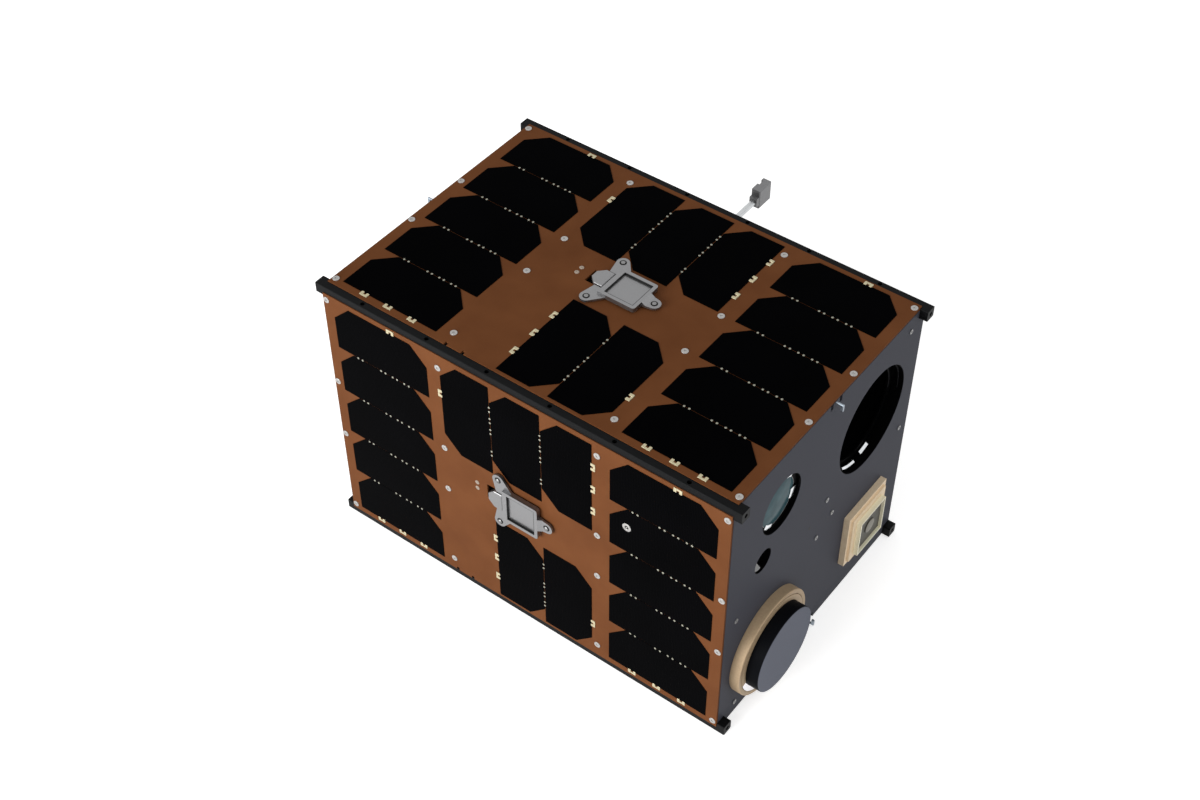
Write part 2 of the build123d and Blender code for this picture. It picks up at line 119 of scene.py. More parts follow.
def wave(nodes, links, direction, pitch, wobble=0.0):
    """Waves along one axis, a crest every pitch, in metres."""
    place = nodes.new("ShaderNodeTexCoord")
    texture = preset(nodes.new("ShaderNodeTexWave"), {"Scale": wave_period / pitch, "Distortion": wobble})
    texture.bands_direction = direction
    links.new(place.outputs["Object"], texture.inputs["Vector"])
    return texture.outputs["Fac"]


print("finish helpers: preset, new_finish, noise, wave")

# %% [markdown]
# ## Colours that vary
# Noise and waves give a plain number at each point. Several numbers are brought together by a sum or a
# maximum, a ramp turns a number into a colour between two tones, and a product makes a colour darker or
# lighter by it. A painted image could hold all this ready made, but it would blur from close by.

# %% Helpers for colours
def ramp(nodes, links, value, stops):
    """A ramp between two colours over a value; stops are two (place, colour) pairs."""
    node = nodes.new("ShaderNodeValToRGB")
    band = node.color_ramp
    for element, (place, colour) in zip(band.elements, stops):
        element.position = place
        element.color = (*colour, 1.0)
    links.new(value, node.inputs["Fac"])
    return node.outputs["Color"]


def multiplied(nodes, links, colour, factor):
    """A colour made darker or lighter by a value."""
    node = nodes.new("ShaderNodeVectorMath")
    node.operation = "SCALE"
    links.new(colour, node.inputs["Vector"])
    links.new(factor, node.inputs["Scale"])
    return node.outputs["Vector"]


def combined(nodes, links, values, operation):
    """Several values brought together by one operation of the math node."""
    total = values[0]
    for other in values[1:]:
        node = nodes.new("ShaderNodeMath")
        node.operation = operation
        links.new(total, node.inputs[0])
        links.new(other, node.inputs[1])
        total = node.outputs["Value"]
    return total


print("colour helpers: ramp, multiplied, combined")

# %% [markdown]
# ## Grain, roughness and relief
# On a cast, blasted or plated part the grains tint the surface, swing its roughness and lift it by a few
# hundredths of a millimetre, all at once. These could be three textures. One noise for all three is
# simpler, and truer, because on the real part they are the same grains.

# %% Helpers for grain and relief
noise_low = 0.3                  # noise lies mostly between these two values
noise_high = 0.7
dark_stop = 0.35                 # noise values at which a grain has its darker and its lighter tone
light_stop = 0.65


def spread(nodes, links, value, low, high):
    """Maps a noise value to the range low to high."""
    node = preset(nodes.new("ShaderNodeMapRange"),
                  {"From Min": noise_low, "From Max": noise_high, "To Min": low, "To Max": high})
    links.new(value, node.inputs["Value"])
    return node.outputs["Result"]


def relief(nodes, links, skin, value, depth, strength=1.0):
    """Bump from a value, with its depth in metres."""
    node = preset(nodes.new("ShaderNodeBump"), {"Distance": depth, "Strength": strength})
    links.new(value, node.inputs["Height"])
    links.new(node.outputs["Normal"], skin.inputs["Normal"])


def grained(name, dark, light, grain, roughness, metallic=0.0, specular=0.5, depth=0.02 * mm,
            stretch=(1.0, 1.0, 1.0), roughness_swing=0.06):
    """A finish whose colour, roughness and relief all follow grains of one size."""
    nodes, links, skin = new_finish(name, roughness, metallic, specular)
    grains = noise(nodes, links, grain, stretch=stretch)
    tones = ramp(nodes, links, grains, ((dark_stop, dark), (light_stop, light)))
    links.new(tones, skin.inputs["Base Color"])
    low, high = max(0.0, roughness - roughness_swing), roughness + roughness_swing
    links.new(spread(nodes, links, grains, low, high), skin.inputs["Roughness"])
    relief(nodes, links, skin, grains, depth)


print("grain helpers: spread, relief, grained")

# %% [markdown]
# ## Metals and coatings
# Black anodising is matt with a faint grain along the rail, because the bar was milled lengthwise. Bead
# blasting gives the sun sensors an even fine grain. Each is the same recipe with other numbers, which is
# how a workshop's finish schedule reads too.

# %% Metals and coatings
grained("rail_black", (0.0027, 0.0030, 0.0032), (0.0049, 0.0051, 0.0056), 0.6 * mm, 0.45, specular=0.06,
        stretch=(12.0, 1.0, 1.0))
grained("plate_grey", (0.056, 0.058, 0.072), (0.064, 0.066, 0.082), 0.7 * mm, 0.45, specular=0.02)
grained("sensor_grey", (0.235, 0.235, 0.24), (0.28, 0.28, 0.285), 0.4 * mm, 0.34, metallic=0.95,
        depth=0.01 * mm)
grained("tube_black", (0.0009, 0.0009, 0.0010), (0.0016, 0.0016, 0.0018), 1.0 * mm, 0.45, specular=0.02)
grained("antenna_gold", (0.408, 0.293, 0.179), (0.458, 0.336, 0.207), 1.5 * mm, 0.55, metallic=0.3,
        specular=0.4, depth=0.01 * mm)
grained("square_gold", (0.84, 0.66, 0.45), (0.90, 0.73, 0.51), 1.5 * mm, 0.50, metallic=0.15, specular=0.4,
        depth=0.01 * mm)
grained("antenna_cream", (0.96, 0.90, 0.66), (0.99, 0.94, 0.72), 1.0 * mm, 0.30)
grained("patch_ceramic", (0.085, 0.081, 0.068), (0.125, 0.119, 0.101), 1.2 * mm, 0.45, specular=0.1)
grained("pin_steel", (0.52, 0.53, 0.55), (0.66, 0.67, 0.68), 0.8 * mm, 0.28, metallic=1.0, depth=0.005 * mm)
grained("hook_steel", (0.24, 0.28, 0.32), (0.33, 0.37, 0.42), 0.6 * mm, 0.38, metallic=0.9, depth=0.005 * mm)
grained("boom_metal", (0.50, 0.52, 0.53), (0.66, 0.67, 0.68), 0.5 * mm, 0.30, metallic=0.9,
        stretch=(1.0, 20.0, 1.0), depth=0.005 * mm)
grained("boom_grey", (0.20, 0.20, 0.205), (0.255, 0.255, 0.26), 0.5 * mm, 0.42, metallic=0.5)
grained("avionics_box", (0.143, 0.143, 0.143), (0.200, 0.200, 0.200), 1.0 * mm, 0.5)
print("finishes:", len(finish))

# %% [markdown]
# ## Circuit board
# The side panels are bare circuit board with a copper-brown solder mask. Under the mask the glass cloth
# shows as a fine weave, and the mask itself is slightly uneven. An image could show both, but it would
# have to be unwrapped. A wave along each axis draws the weave instead, since on every side two of the
# three cross, and a large noise makes the unevenness.

# %% Circuit board
weave_pitch = 1.1 * mm
weave_shade = (0.94, 1.06)       # how much the cloth darkens and lightens the mask
weave_relief = 0.01 * mm
weave_strength = 0.6
mask_cloud = 30 * mm             # size of the mask's uneven patches
weave_wobble = 0.4               # how far the threads stray
mask_stops = (0.25, 0.75)        # noise values at which the mask has its darker and its lighter tone
mask_dark = (0.118, 0.041, 0.0143)
mask_light = (0.154, 0.056, 0.020)


def circuit_board():
    """Solder mask over glass cloth."""
    nodes, links, skin = new_finish("panel_board", roughness=0.55, specular=0.03)
    cloudy = noise(nodes, links, mask_cloud, detail=6.0)
    mask = ramp(nodes, links, cloudy, zip(mask_stops, (mask_dark, mask_light)))
    cloth = [wave(nodes, links, axis, weave_pitch, weave_wobble) for axis in ("X", "Y", "Z")]
    total = combined(nodes, links, cloth, "ADD")
    shade = preset(nodes.new("ShaderNodeMapRange"),
                   {"From Max": float(len(cloth)), "To Min": weave_shade[0], "To Max": weave_shade[1]})
    links.new(total, shade.inputs["Value"])
    links.new(multiplied(nodes, links, mask, shade.outputs["Result"]), skin.inputs["Base Color"])
    relief(nodes, links, skin, total, weave_relief, weave_strength)


circuit_board()
print("board: weave pitch", round(weave_pitch / mm, 2), "mm")

# %% [markdown]
# ## Solar cells
# A triple-junction cell under its cover glass is almost black. From close by it shows hair-thin grid
# fingers. They could be modelled, at thousands of faces a cell. A stepped wave at their real pitch draws
# them for nothing, nearly as dark as the cell, because from a step away they vanish.

# %% Solar cells
finger_pitch = 1.2 * mm
finger_stops = (0.86, 0.93)      # wave values between which a finger's edge lies
tone_patch = 40 * mm             # size of the slow change of tone over a cell
tone_swing = (0.8, 1.25)
cell_dark = (0.0004, 0.0004, 0.0006)
finger_tone = (0.0013, 0.0013, 0.0017)


def solar_cell():
    """Black cell glass with fine collecting fingers."""
    nodes, links, skin = new_finish("solar_cell", roughness=0.25, specular=0.004)
    crests = wave(nodes, links, "X", finger_pitch)
    fingers = ramp(nodes, links, crests, zip(finger_stops, (cell_dark, finger_tone)))
    tone = spread(nodes, links, noise(nodes, links, tone_patch, detail=1.0), *tone_swing)
    links.new(multiplied(nodes, links, fingers, tone), skin.inputs["Base Color"])


solar_cell()
print("cells: finger pitch", round(finger_pitch / mm, 2), "mm")

# %% [markdown]
# ## Lens glass
# A coated front lens looks teal, because its coating lets the rest of the light through. Seen at a
# slant only the coating shows, so a teal body gives the look without refraction, which would cost render
# time for nothing behind it.

# %% Lens glass
coating_deep = (0.036, 0.082, 0.097)
coating_pale = (0.064, 0.129, 0.147)
coating_patch = 9 * mm


def coated_lens():
    """Teal coated glass."""
    nodes, links, skin = new_finish("lens_glass", roughness=0.12, specular=0.03)
    cloudy = noise(nodes, links, coating_patch, detail=1.0)
    coating = ramp(nodes, links, cloudy, ((noise_low, coating_deep), (noise_high, coating_pale)))
    links.new(coating, skin.inputs["Base Color"])


coated_lens()
print("lens glass: teal coating")

# %% [markdown]
# ## Antenna puck
# The puck is moulded in black, with a grey flat face. Its side is painted far darker than the face, as
# painted shade where it would mirror the dark plate. Two materials could do this if the faces were sorted
# between them. One finish does both without, by how near a point lies to the plane of the face.

# %% Antenna puck
# painted shade: the side's tone is far darker than the face's, where the side would mirror the dark plate
puck_side_shade = (0.0039, 0.0043, 0.0054)
puck_face_tone = (0.157, 0.168, 0.207)
puck_fade = (0.35 * mm, 0.1 * mm)    # depths below the face between which the side's painted shade gives way
puck_grain = 0.8 * mm
puck_swing = (0.95, 1.05)


def moulded_puck(face_x):
    """Black moulding whose flat face, at face_x in the node's own frame, is grey, and whose side is darkened
    as painted shade.
    """
    nodes, links, skin = new_finish("puck_black", roughness=0.42, specular=0.01)
    place = nodes.new("ShaderNodeTexCoord")
    parts = nodes.new("ShaderNodeSeparateXYZ")
    links.new(place.outputs["Object"], parts.inputs["Vector"])
    near_face = preset(nodes.new("ShaderNodeMapRange"),
                       {"From Min": face_x - puck_fade[0], "From Max": face_x - puck_fade[1]})
    links.new(parts.outputs["X"], near_face.inputs["Value"])
    tone = ramp(nodes, links, near_face.outputs["Result"], ((0.0, puck_side_shade), (1.0, puck_face_tone)))
    grains = spread(nodes, links, noise(nodes, links, puck_grain), *puck_swing)
    links.new(multiplied(nodes, links, tone, grains), skin.inputs["Base Color"])


puck_points = frame["nodes"]["round_antenna_puck"].data.vertices
puck_face_x = max(point.co.x for point in puck_points)
moulded_puck(puck_face_x)
print("puck face at", round(puck_face_x / mm, 2), "mm in its node's frame")

# %% [markdown]
# ## Dressing the nodes
# Every node of the engineering model has a slot in the record, and a slot is the name of a finish. Three
# nodes depart from their slot: the square antenna's base is plated in a paler gold than the round antenna's
# ring, and the hook pins at the plates' edges are a darker, bluer steel than the other fasteners.

# %% Dressing the nodes
own_finish = {"square_antenna_base": "square_gold", "payload_hooks": "hook_steel",
              "rear_hooks": "hook_steel"}
slot_of = {}
for subpart in frame["record"]["subparts"]:
    slot_of[subpart["node"]] = subpart["material_slot"]
for node, part in frame["nodes"].items():
    part.data.materials.clear()
    part.data.materials.append(finish[own_finish.get(node, slot_of[node])])
print("dressed nodes:", len(slot_of))

# %% [markdown]
# ## Turned shapes
# Screws, pads, caps and lenses are turned parts. A modifier could spin a profile, but a shape kept as a
# plain list of points and faces can be copied a hundred times and gathered into one mesh. So a turned
# shape is a profile of radius and height, swept round the z axis.

# %% Turned shapes
on_axis = 1e-7                   # a radius below this is a point on the axis


def in_mm(profile):
    """A profile of radius and height, given in millimetres."""
    return [(radius * mm, height * mm) for radius, height in profile]


def turned(profile, steps=28):
    """A profile of (radius, height) points swept round the z axis. Ends on the axis are closed."""
    points, faces, rows = [], [], []
    for radius, height in profile:
        if radius < on_axis:
            rows.append([len(points)])
            points.append(Vector((0.0, 0.0, height)))
            continue
        row = []
        for step in range(steps):
            angle = 2 * math.pi * step / steps
            row.append(len(points))
            points.append(Vector((radius * math.cos(angle), radius * math.sin(angle), height)))
        rows.append(row)
    for low, high in zip(rows, rows[1:]):
        for step in range(steps):
            after = (step + 1) % steps
            if len(low) == 1:
                faces.append((low[0], high[after], high[step]))
            elif len(high) == 1:
                faces.append((low[step], low[after], high[0]))
            else:
                faces.append((low[step], low[after], high[after], high[step]))
    return points, faces


print("turned shapes ready")

# %% [markdown]
# ## Flat shapes
# Contact tabs are cut from sheet. A solidify modifier could thicken a flat outline, but it leaves the edge
# sharp. Here a plate is an outline at three levels, the last one a little smaller, so that its upper edge
# is bevelled and catches light as a real one does.

# %% Flat shapes
def rounded(width, height, radius, steps=4):
    """A rectangle's outline with rounded corners, counter-clockwise from above."""
    outline = []
    for corner, (side_x, side_y) in enumerate(((1, 1), (-1, 1), (-1, -1), (1, -1))):
        for step in range(steps + 1):
            angle = math.pi / 2 * (corner + step / steps)
            outline.append((side_x * (width / 2 - radius) + radius * math.cos(angle),
                            side_y * (height / 2 - radius) + radius * math.sin(angle)))
    return outline


def plate(outline, thickness, bevel=0.0):
    """A flat plate from an outline, its upper edge bevelled towards the outline's middle."""
    count = len(outline)
    middle_x = sum(x for x, y in outline) / count
    middle_y = sum(y for x, y in outline) / count
    reach = max(math.hypot(x - middle_x, y - middle_y) for x, y in outline)
    shrink = 1.0 - bevel / reach
    levels = ((0.0, 1.0), (thickness - bevel, 1.0), (thickness, shrink))
    points = []
    for height, scale in levels:
        for x, y in outline:
            points.append(Vector((middle_x + (x - middle_x) * scale, middle_y + (y - middle_y) * scale,
                                  height)))
    faces = [tuple(reversed(range(count)))]
    for level in range(2):
        base = level * count
        for step in range(count):
            after = (step + 1) % count
            faces.append((base + step, base + after, base + count + after, base + count + step))
    faces.append(tuple(range(2 * count, 3 * count)))
    return points, faces


print("flat shapes ready")

# %% [markdown]
# ## Borders
# A bead of adhesive or a gasket runs round an opening. That is a plate with its middle left out: an outer
# and an inner rectangle at two levels, with four faces along each side.

# %% Borders
def border(width, height, wall, thickness):
    """A flat rectangular frame, its wall measured inwards."""
    points, faces = [], []
    for level in (0.0, thickness):
        for inset in (0.0, wall):
            for side_x, side_y in ((1, 1), (-1, 1), (-1, -1), (1, -1)):
                points.append(Vector((side_x * (width / 2 - inset), side_y * (height / 2 - inset), level)))
    for step in range(4):
        after = (step + 1) % 4
        for one, two in ((0, 4), (4, 12), (12, 8), (8, 0)):
            faces.append((one + step, one + after, two + after, two + step))
    return points, faces


print("borders ready")

# %% [markdown]
# ## Copies and swept sections
# A copy of a shape is its points moved by a matrix, and several copies are gathered into one shape, which
# keeps a hundred screws a single object. A swept section is a closed outline carried round an axis between
# two angles. It makes rings, tubes and short arcs alike.

# %% Copies and swept sections
def placed(shape, matrix):
    """A copy of a shape moved by a matrix."""
    points, faces = shape
    return [matrix @ point for point in points], faces


def moved(x, y, z=0.0):
    """The matrix of a plain shift."""
    return Matrix.Translation((x, y, z))


def gathered(shapes):
    """Several shapes as one."""
    points, faces = [], []
    for more_points, more_faces in shapes:
        base = len(points)
        points.extend(more_points)
        faces.extend(tuple(base + index for index in face) for face in more_faces)
    return points, faces


def swept(section, start=0.0, end=360.0, steps=72):
    """A closed section of (radius, height) points swept round the z axis between two angles."""
    whole = end - start >= 360.0
    rows = steps if whole else steps + 1
    points, faces = [], []
    size = len(section)
    for row in range(rows):
        angle = math.radians(start + (end - start) * row / steps)
        for radius, height in section:
            points.append(Vector((radius * math.cos(angle), radius * math.sin(angle), height)))
    for row in range(steps):
        here, there = row * size, (row + 1) % rows * size
        for index in range(size):
            after = (index + 1) % size
            faces.append((here + index, here + after, there + after, there + index))
    if not whole:
        faces.append(tuple(range(size)))
        faces.append(tuple(reversed(range(steps * size, steps * size + size))))
    return points, faces


print("copies and sweeps ready")

# %% [markdown]
# ## Adding a piece
# Every piece is made the same way: its points and faces become a mesh, the faces are smoothed up to a sharp
# angle, and the piece gets its material, which is its slot's finish unless another is given, and the body
# that it rides on.


def add_piece(name, shape, slot, material=None, body="satellite", sharp=35.0):
    """Makes an object of a shape, dresses it and lets it ride on a body."""
    points, faces = shape
    build = bmesh.new()
    corners_made = [build.verts.new(point) for point in points]
    for face in faces:
        build.faces.new([corners_made[index] for index in face])
    bmesh.ops.recalc_face_normals(build, faces=build.faces)
    for face in build.faces:
        face.smooth = True
    mesh = bpy.data.meshes.new(name)
    build.to_mesh(mesh)
    build.free()
    mesh.set_sharp_from_angle(angle=math.radians(sharp))
    mesh.materials.append(material or finish[slot])
    piece = new_object(name, mesh)
    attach(piece, body)
    print(name, len(mesh.polygons), "faces")
    return piece


# %% [markdown]
# ## Frames of the four sides
# What sits on a side panel is laid out as on its drawing: along the rails, up the panel and out of it. A
# matrix for each side turns those three into the satellite's own frame, and the panel's height is read
# from the engineering model, so the pieces stay on the board when the board moves.

# %% Frames of the sides
def corners(name):
    """The eight corners of a node's box."""
    low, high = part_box(name)
    return [Vector((x, y, z)) for x in (low.x, high.x) for y in (low.y, high.y) for z in (low.z, high.z)]


rail_low, rail_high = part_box("rail_bottom_front")[0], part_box("rail_top_back")[1]
middle_z = (rail_low.z + rail_high.z) / 2
side_turns = {"top": 0, "front": 90, "bottom": 180, "back": 270}
side_frames = {}
panel_ends = {}
for side, turn in side_turns.items():
    spin = Matrix.Rotation(math.radians(turn), 4, "X")
    outward = spin @ Vector((0, 0, 1))
    axis_point = Vector((0, 0, middle_z))
    skin_height = max((corner - axis_point).dot(outward) for corner in corners(f"panel_{side}"))
    side_frames[side] = Matrix.Translation(axis_point) @ spin @ moved(0, 0, skin_height)
    panel_ends[side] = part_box(f"panel_{side}")[1].x
    print(side, "skin at", round(skin_height / mm, 2), "mm")

# %% [markdown]
# ## Frames of the end plates
# On an end plate the drawing's axes are across, which is along y, then up, and out of the plate. The rear
# plate is drawn as seen from behind, so its across axis runs the other way. Each of these frames only
# swaps axes, so its matrix is simply written out.

# %% Frames of the end plates
payload_face_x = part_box("payload_end_plate")[1].x
rear_face_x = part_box("rear_end_plate")[0].x
to_payload_end = Matrix(((0, 0, 1, payload_face_x), (1, 0, 0, 0), (0, 1, 0, middle_z), (0, 0, 0, 1)))
to_rear_end = Matrix(((0, 0, -1, rear_face_x), (-1, 0, 0, 0), (0, 1, 0, middle_z), (0, 0, 0, 1)))


def at_middle_of(name):
    """The payload end's frame, moved to the middle of a node."""
    low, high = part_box(name)
    return to_payload_end @ moved((low.y + high.y) / 2, (low.z + high.z) / 2 - middle_z)


print("payload face at", round(payload_face_x / mm, 2), "mm, rear face at", round(rear_face_x / mm, 2), "mm")

# %% [markdown]
# ## Board screws
# Sixteen flat-head screws hold each board to the rails and ribs. A screw this small needs only its
# bevelled rim and its drive to read as a screw. The drive is a round-bottomed socket: turned with the rest
# of the profile, it costs nothing and looks dark in its middle. The heads are low, because two of the
# boards lie only 0.6 mm inside the rails' outer plane.

# %% Board screws
screw_rows = (                   # place along the rails, or None at the board's end; two places up
    (None, 102.6, 26.4),
    (64.4, 96.0, 20.5),
)
screw_end_gap = 3.0 * mm
head_sunk = 0.1                  # shares of the head's height: what is sunk in, and the bevelled rim
rim_share = 0.22
drive_share = 0.36               # the drive's radius as a share of the head's, and its narrower floor
drive_taper = 0.92
drive_edge = 0.25                # heights of the drive's floor at its edge and its middle, as shares
drive_middle = 0.15


def screw(radius, height):
    """A low screw head with a bevelled rim and a dark round drive."""
    rim = rim_share * height
    drive = radius * drive_share
    return turned((
        (radius, -head_sunk * height), (radius, height - rim), (radius - rim, height), (drive, height),
        (drive * drive_taper, height * drive_edge), (0.0, height * drive_middle),
    ))


grained("screw_metal", (0.357, 0.350, 0.336), (0.443, 0.429, 0.415), 0.6 * mm, 0.40, metallic=0.6,
        depth=0.005 * mm)
board_screw = screw(2.45 * mm, 0.5 * mm)
for side, to_side in side_frames.items():
    heads = []
    for along, outer, inner in screw_rows:
        along = panel_ends[side] - screw_end_gap if along is None else along * mm
        for x in (-along, along):
            for up in (-outer, -inner, inner, outer):
                heads.append(placed(board_screw, to_side @ moved(x, up * mm)))
    add_piece(f"screws_{side}", gathered(heads), "pin_steel", finish["screw_metal"])

# %% [markdown]
# ## Cell contacts
# The cells of a string are welded to each other by silver tabs. Between two cells a tab shows as a pair of
# small dots, and at the ends of a string it folds on to the board as a U. Both are placed in the cell's
# own frame: three on its long straight edge and one on its cropped edge.

# %% Cell contacts
cell_groups = (                  # centre x, centre up, count along x, count up, turn of each cell
    (-114.75, 0.75, 1, 5, 0),
    (114.75, 0.75, 1, 5, 0),
    (-1.4, 63.0, 3, 1, 90),
    (18.8, -64.7, 2, 1, -90),
)
cell_pitch = 41.2 * mm
cell_half = 20.35 * mm
straight_contacts = (-20.6, 0.0, 20.6)
cropped_contact = 10.3
dot_spread = 3.9 * mm
cell_top = 0.3 * mm

dot = turned(in_mm(((0.8, 0.0), (0.8, 0.12), (0.6, 0.22), (0.0, 0.24))), steps=16)
tab_wide = 6.4 * mm
tab_foot = 1.5 * mm
arm_wide = 2.2 * mm
arm_long = 3.5 * mm
arm_reach = 0.7 * mm             # of an arm on to the cell
foot_corner = 0.3 * mm
foot_thick = 0.35 * mm
foot_bevel = 0.1 * mm
arm_corner = 0.5 * mm
arm_thick = 0.5 * mm
arm_bevel = 0.12 * mm


def u_tab():
    """A U-shaped tab: a foot on the board and two arms on to the cell at its straight edge."""
    foot = plate(rounded(tab_wide, tab_foot, foot_corner), foot_thick, foot_bevel)
    parts = [placed(foot, moved(0, arm_reach - arm_long + tab_foot / 2))]
    for side in (-1, 1):
        arm = plate(rounded(arm_wide, arm_long, arm_corner), arm_thick, arm_bevel)
        parts.append(placed(arm, moved(side * (tab_wide - arm_wide) / 2, arm_reach - arm_long / 2)))
    return gathered(parts)


grained("tab_silver", (0.472, 0.415, 0.257), (0.572, 0.515, 0.343), 0.8 * mm, 0.40, metallic=0.3,
        depth=0.01 * mm)
grained("dot_silver", (0.257, 0.250, 0.193), (0.329, 0.322, 0.257), 0.5 * mm, 0.40, metallic=0.3,
        depth=0.005 * mm)
end_tab = u_tab()
print("tab:", len(end_tab[0]), "points, dot:", len(dot[0]), "points")

# %% [markdown]
# ## Contacts on the four sides
# All four boards carry the same strings of cells. Each cell gets its own frame, and the contacts are set
# in it: tabs at the two ends of a string, and pairs of dots between neighbours.

# %% Contacts on the four sides
half_turn = Matrix.Rotation(math.pi, 4, "Z")
for side, to_side in side_frames.items():
    tabs, dots = [], []
    for centre_x, centre_up, along, upward, turn in cell_groups:
        count = max(along, upward)
        spin = Matrix.Rotation(math.radians(turn), 4, "Z")
        group = to_side @ moved(centre_x * mm, centre_up * mm) @ spin
        for step in range(count):
            # a string runs up the cell's own frame, from a straight edge to a cropped edge
            cell = group @ moved(0, (step - (count - 1) / 2) * cell_pitch)
            for place in straight_contacts:
                if step == 0:
                    spot = moved(place * mm, -cell_half)
                    tabs.append(placed(end_tab, cell @ spot))
                    continue
                for shift in (-dot_spread / 2, dot_spread / 2):
                    spot = moved(place * mm + shift, -cell_pitch / 2, cell_top)
                    dots.append(placed(dot, cell @ spot))
            if step == count - 1:
                spot = moved(cropped_contact * mm, cell_half) @ half_turn
                tabs.append(placed(end_tab, cell @ spot))
                continue
            for shift in (-dot_spread / 2, dot_spread / 2):
                spot = moved(cropped_contact * mm + shift, cell_pitch / 2, cell_top)
                dots.append(placed(dot, cell @ spot))
    add_piece(f"end_tabs_{side}", gathered(tabs), "pin_steel", finish["tab_silver"])
    add_piece(f"weld_dots_{side}", gathered(dots), "pin_steel", finish["dot_silver"])

# %% [markdown]
# ## Pads and the test ring
# Beside each sun sensor two round solder pads take its harness, and one ring on the front side marks a
# test point on a cell. They could be drawn in the board's finish. As metal shapes, a few tenths of a
# millimetre high, they catch light on their rims, and that is how such small things are noticed.

# %% Pads and the test ring
sensor_sides = ("top", "front")
pad_spots = ((-37.0, 4.0), (-37.0, -1.5))
ring_spot = (88.0, 45.5)
pad = turned(in_mm(((1.7, 0.0), (1.7, 0.2), (1.4, 0.32), (0.5, 0.32), (0.4, 0.12), (0.0, 0.12))), steps=20)
grained("pad_tin", (0.286, 0.229, 0.179), (0.357, 0.293, 0.236), 0.7 * mm, 0.45, metallic=0.4)
for side in sensor_sides:
    pads = [placed(pad, side_frames[side] @ moved(x * mm, up * mm)) for x, up in pad_spots]
    add_piece(f"pads_{side}", gathered(pads), "pin_steel", finish["pad_tin"])

ring_section = in_mm(((3.3, 0.0), (3.3, 0.35), (3.0, 0.5), (1.6, 0.5), (1.4, 0.3), (1.4, 0.0)))
ring_place = side_frames["front"] @ moved(ring_spot[0] * mm, ring_spot[1] * mm, cell_top)
ring_dot = turned(in_mm(((0.6, 0.0), (0.6, 0.4), (0.0, 0.45))), steps=16)
test_ring = gathered([placed(swept(ring_section, steps=36), ring_place), placed(ring_dot, ring_place)])
add_piece("test_ring", test_ring, "pin_steel", finish["screw_metal"])

# %% [markdown]
# ## Sun sensors
# Each sensor stands on three ears. A small domed screw sits in every ear, over a flat black disc that is
# painted shade for its counterbore. Along the walls of the window in the head runs a low black border,
# painted shade for the shaded walls of the recess. It is a low border rather than a drawn line, so that it
# shows from a slant as well.

# %% Sun sensor screws and painted shade
ear_spots = ((-16.0, 20.5), (-16.0, -20.5), (24.3, 0.0))
sensor_line = 1.7                # the sensor's own centre line, up from the panel's middle
ear_top = 2.75 * mm
window_spot = (3.65, 1.7)
window_floor = 3.15 * mm
window_size = (23.3 * mm, 23.4 * mm)
shade_border_wall = 0.45 * mm
shade_border_height = 1.35 * mm
counterbore_shade = turned(in_mm(((2.5, 0.0), (2.5, 0.08), (0.0, 0.08))), steps=24)
ear_screw = turned(in_mm(((1.5, 0.05), (1.5, 0.4), (1.1, 0.75), (0.5, 0.88), (0.0, 0.9))), steps=24)
grained("screw_dim", (0.20, 0.20, 0.20), (0.28, 0.28, 0.28), 0.5 * mm, 0.35, metallic=0.8, depth=0.005 * mm)
# painted shade: a low black border along the window's walls and black discs under the ear screws stand for
# the shade in the recess and the counterbores
window_shade_border = border(*window_size, shade_border_wall, shade_border_height)
grained("shade_black", (0.0043, 0.0043, 0.0043), (0.0086, 0.0086, 0.0086), 0.5 * mm, 0.5, specular=0.2)
for side in sensor_sides:
    to_side = side_frames[side]
    places = [to_side @ moved(x * mm, (sensor_line + up) * mm, ear_top) for x, up in ear_spots]
    add_piece(f"ear_screws_{side}", gathered([placed(ear_screw, place) for place in places]), "pin_steel",
              finish["screw_dim"])
    to_window = to_side @ moved(window_spot[0] * mm, window_spot[1] * mm, window_floor)
    dark = [placed(counterbore_shade, place) for place in places] + [placed(window_shade_border, to_window)]
    add_piece(f"sensor_shade_{side}", gathered(dark), "tube_black", finish["shade_black"])

# %% [markdown]
# ## End plate screws
# The plates are screwed to the rails and to the structure inside. On the payload end the screws follow what
# had to be cleared: they stand where no optic or antenna is. The rear plate has eight in a plain grid. A
# small vent hole lets the air out on the way up; its dark inside is painted shade, a flat black disc on the
# plate.

# %% End plate screws
payload_screws = ((95.8, 99.7), (102.3, 3.2), (-99.7, -5.8), (-92.7, -101.8), (6.3, 14.2), (15.8, -6.8),
                  (-2.7, -15.8))
rear_screws = [(across, up) for across in (-98.0, 0.0, 98.0) for up in (-99.0, 0.0, 99.0)
               if (across, up) != (0.0, 0.0)]
vent_spot = (-13.7, 4.2)
plate_screw = screw(1.9 * mm, 0.7 * mm)
for name, to_end, spots in (("payload", to_payload_end, payload_screws), ("rear", to_rear_end, rear_screws)):
    heads = [placed(plate_screw, to_end @ moved(across * mm, up * mm)) for across, up in spots]
    add_piece(f"{name}_plate_screws", gathered(heads), "pin_steel", finish["screw_dim"])
# painted shade: a flat black disc for the vent hole's dark inside
vent = turned(in_mm(((1.4, 0.0), (1.4, 0.06), (0.0, 0.06))), steps=16)
vent_place = to_payload_end @ moved(vent_spot[0] * mm, vent_spot[1] * mm)
add_piece("vent_shade", placed(vent, vent_place), "tube_black", finish["shade_black"])

# %% [markdown]
# ## Blackened bores and painted rim highlights
# The bores through the plate are blackened against stray light, so each gets a thin dark sleeve. On the far
# side of the rim of the telescope's bore and of its first baffle, a dark grey band is a painted highlight,
# where those edges would catch light. Heights are counted out of the plate, so a depth becomes a negative
# height.

